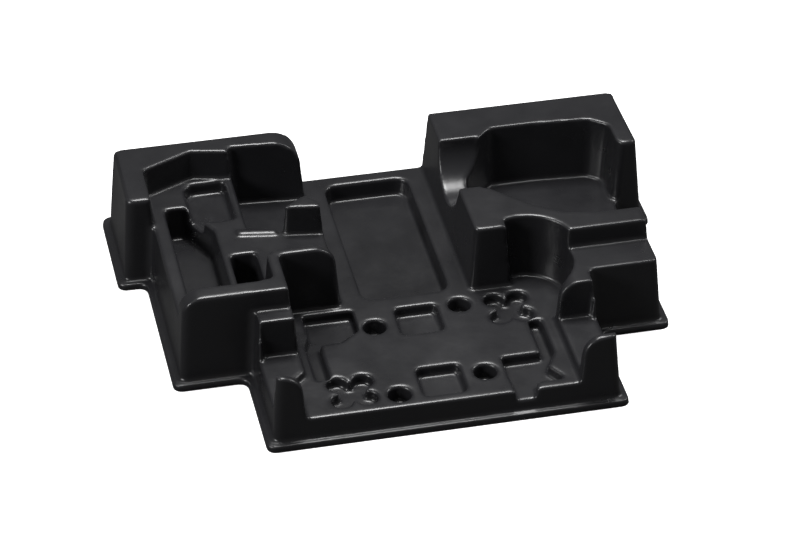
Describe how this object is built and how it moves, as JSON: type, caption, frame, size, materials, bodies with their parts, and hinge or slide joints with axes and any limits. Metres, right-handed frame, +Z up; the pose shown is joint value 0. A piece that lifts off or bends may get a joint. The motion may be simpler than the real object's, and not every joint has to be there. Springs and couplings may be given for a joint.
{
  "type": "thermoformed insert tray",
  "caption": "thermoformed plastic insert tray for a carry case, with raised blocks, a low deck and fitted recesses that hold a tool and its accessories",
  "frame": {"origin": "centre of the footprint on the plane that the lip stands on", "axes": "+X along the long side, +Y towards the tall blocks at the back, +Z up"},
  "size_m": [0.378, 0.283, 0.0665],
  "materials": {
    "tray_plastic": "satin black, formed sheet"
  },
  "bodies": {
    "root": {"insert_tray": "tray_plastic"}
  },
  "joints": []
}
